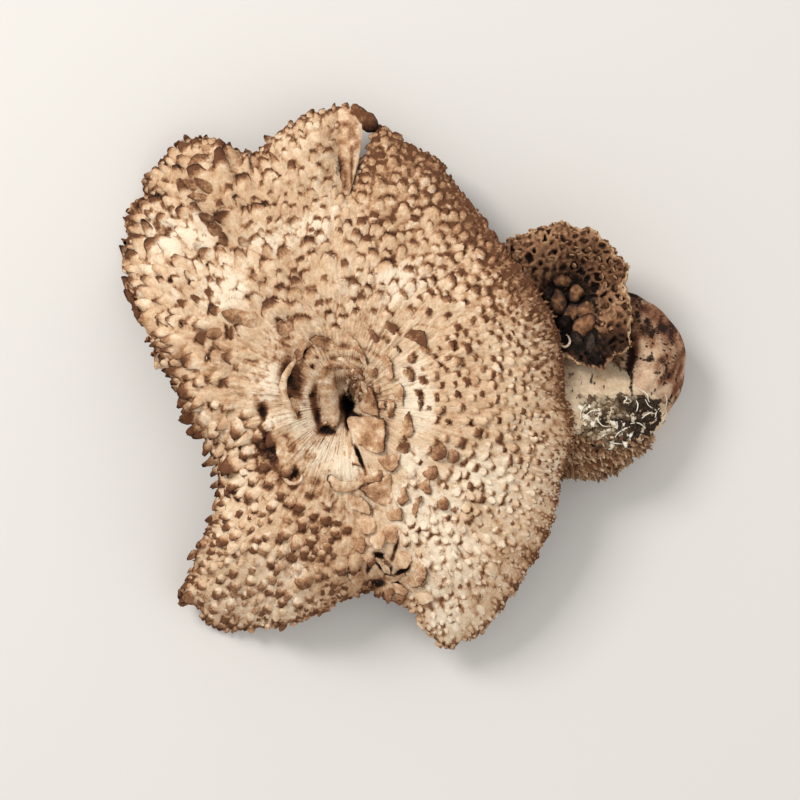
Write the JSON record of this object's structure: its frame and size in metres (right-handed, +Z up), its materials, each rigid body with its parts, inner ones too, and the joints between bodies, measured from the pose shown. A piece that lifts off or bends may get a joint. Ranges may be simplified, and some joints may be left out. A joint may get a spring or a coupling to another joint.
{
  "type": "dried scaly hedgehog mushroom",
  "caption": "Dried scaly hedgehog mushroom: a broad, wavy, split cap covered in overlapping scales on a stout stem, with a small funnel-shaped mushroom grown from the same base.",
  "frame": {"origin": "on the surface that the mushroom lies on, straight below the middle of the large cap", "axes": "+Z up, away from that surface; +X from the middle of the large cap towards the stem's base; +Y towards the split in the cap's edge"},
  "size_m": [0.2006, 0.1945, 0.0486],
  "materials": {
    "large_mushroom": "dry, matt, fibrous flesh with brown scale tips",
    "small_mushroom": "dry, matt, dark brown flesh with pale scale edges",
    "soil_crust": "dry soil with pale threads"
  },
  "bodies": {
    "root": {"large_mushroom": "large_mushroom", "small_mushroom": "small_mushroom", "soil_crust": "soil_crust"}
  },
  "joints": []
}
